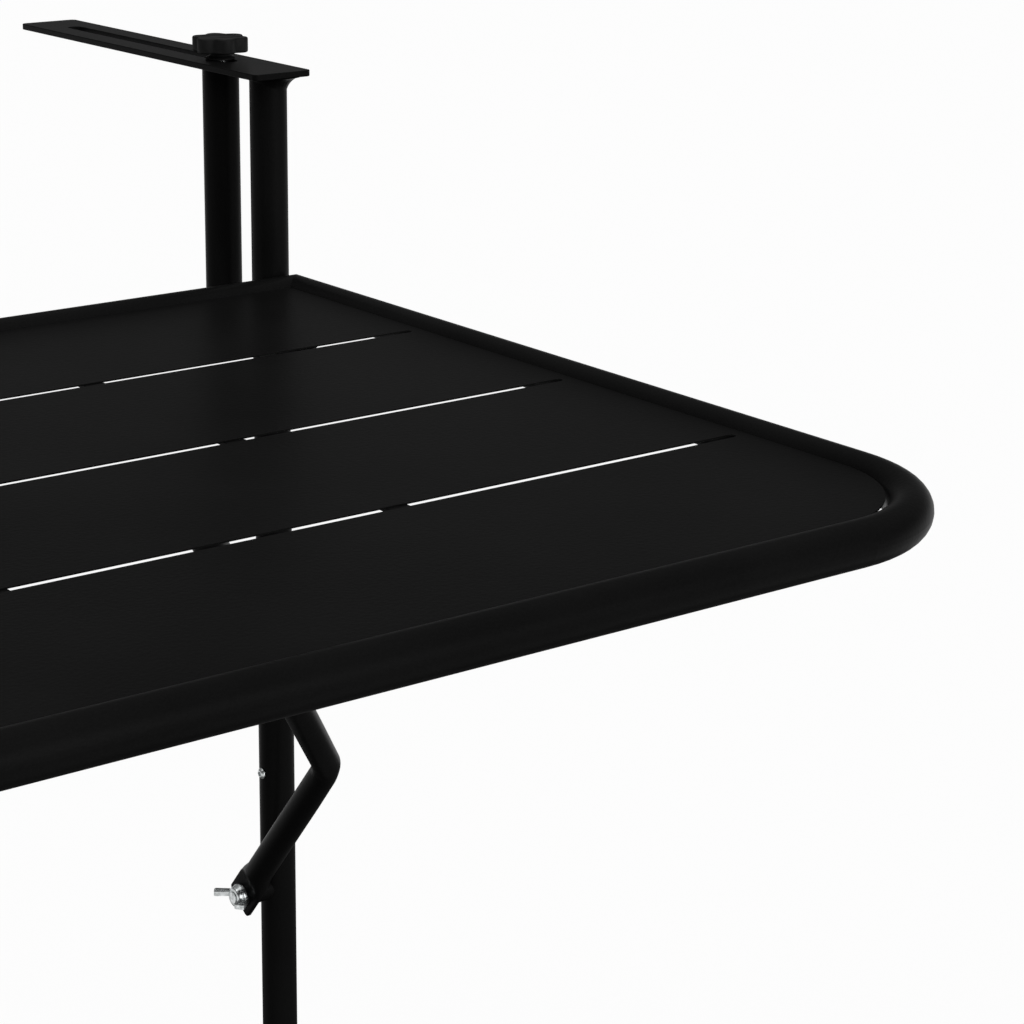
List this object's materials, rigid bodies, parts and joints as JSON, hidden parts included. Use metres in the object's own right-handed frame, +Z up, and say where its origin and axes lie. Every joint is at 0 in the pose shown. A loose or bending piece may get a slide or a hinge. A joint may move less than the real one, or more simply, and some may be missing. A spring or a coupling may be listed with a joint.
{
  "type": "balcony railing table",
  "caption": "Folding balcony table that hangs on a railing by slotted hook plates, with a slotted sheet top in a tube rim, tube posts and a bent tube brace.",
  "frame": {"origin": "on the top of the railing, at the underside of the hook plates, midway between the two hooks and midway between post and rear leg", "axes": "+Z up, +Y over the railing away from the sitter, +X to the right seen from the sitter"},
  "size_m": [0.6092, 0.5926, 0.8341],
  "materials": {
    "black_powder_coat": "satin black powder coat",
    "zinc_plated_steel": "bright zinc plating",
    "black_plastic": "fine matt black moulding"
  },
  "bodies": {
    "root": {"left_brace_bolt": "zinc_plated_steel", "left_brace_spacer": "black_powder_coat", "left_brace_washer": "zinc_plated_steel", "left_hinge_bolt": "zinc_plated_steel", "left_hinge_bracket": "black_powder_coat", "left_hinge_nut": "zinc_plated_steel", "left_hook_plate": "black_powder_coat", "left_hook_weld": "black_powder_coat", "left_lower_post": "black_powder_coat", "left_post_foot": "black_plastic", "left_post_sleeve": "black_powder_coat", "left_sleeve_screw": "zinc_plated_steel", "left_upper_post": "black_powder_coat", "right_brace_bolt": "zinc_plated_steel", "right_brace_spacer": "black_powder_coat", "right_brace_washer": "zinc_plated_steel", "right_hinge_bolt": "zinc_plated_steel", "right_hinge_bracket": "black_powder_coat", "right_hinge_nut": "zinc_plated_steel", "right_hook_plate": "black_powder_coat", "right_hook_weld": "black_powder_coat", "right_lower_post": "black_powder_coat", "right_post_foot": "black_plastic", "right_post_sleeve": "black_powder_coat", "right_sleeve_screw": "zinc_plated_steel", "right_upper_post": "black_powder_coat"},
    "tabletop": {"centre_support_strip": "black_powder_coat", "left_brace_seat": "black_powder_coat", "left_hinge_lug": "black_powder_coat", "left_support_strip": "black_powder_coat", "right_brace_seat": "black_powder_coat", "right_hinge_lug": "black_powder_coat", "right_support_strip": "black_powder_coat", "rim_back_tube": "black_powder_coat", "rim_front_tube": "black_powder_coat", "slatted_panel": "black_powder_coat"},
    "brace": {"brace_tube": "black_powder_coat"},
    "right_leg": {"right_rear_leg": "black_powder_coat", "right_leg_insert": "black_powder_coat", "right_leg_cap": "black_plastic"},
    "right_knob": {"right_star_knob": "black_plastic", "right_knob_stud": "zinc_plated_steel"},
    "right_wing": {"right_wing_nut": "zinc_plated_steel"},
    "left_leg": {"left_rear_leg": "black_powder_coat", "left_leg_insert": "black_powder_coat", "left_leg_cap": "black_plastic"},
    "left_knob": {"left_star_knob": "black_plastic", "left_knob_stud": "zinc_plated_steel"},
    "left_wing": {"left_wing_nut": "zinc_plated_steel"}
  },
  "joints": [
    {"name": "tabletop_fold", "type": "hinge", "parent": "root", "child": "tabletop", "pos_m": [0, -0.0339, -0.1067], "axis": [1, 0, 0], "range_deg": [0, 90]},
    {"name": "brace_swing", "type": "hinge", "parent": "root", "child": "brace", "pos_m": [0, -0.01815, -0.3607], "axis": [1, 0, 0], "range_deg": [0, 141.05]},
    {"name": "right_leg_slide", "type": "slide", "parent": "root", "child": "right_leg", "axis": [0, 1, 0], "range_m": [-0.007, 0.122]},
    {"name": "right_knob_turn", "type": "hinge", "parent": "right_leg", "child": "right_knob", "pos_m": [0.2907, 0.01815, 0.006], "axis": [0, 0, 1], "continuous": true},
    {"name": "right_wing_turn", "type": "hinge", "parent": "root", "child": "right_wing", "pos_m": [0.2707, -0.01815, -0.3607], "axis": [-1, 0, 0], "continuous": true},
    {"name": "left_leg_slide", "type": "slide", "parent": "root", "child": "left_leg", "axis": [0, 1, 0], "range_m": [-0.007, 0.122]},
    {"name": "left_knob_turn", "type": "hinge", "parent": "left_leg", "child": "left_knob", "pos_m": [-0.2907, 0.01815, 0.006], "axis": [0, 0, 1], "continuous": true},
    {"name": "left_wing_turn", "type": "hinge", "parent": "root", "child": "left_wing", "pos_m": [-0.2707, -0.01815, -0.3607], "axis": [1, 0, 0], "continuous": true}
  ],
  "couplings": [
    {"joint": "brace_swing", "follows": "tabletop_fold", "ratio": 1.5672}
  ]
}
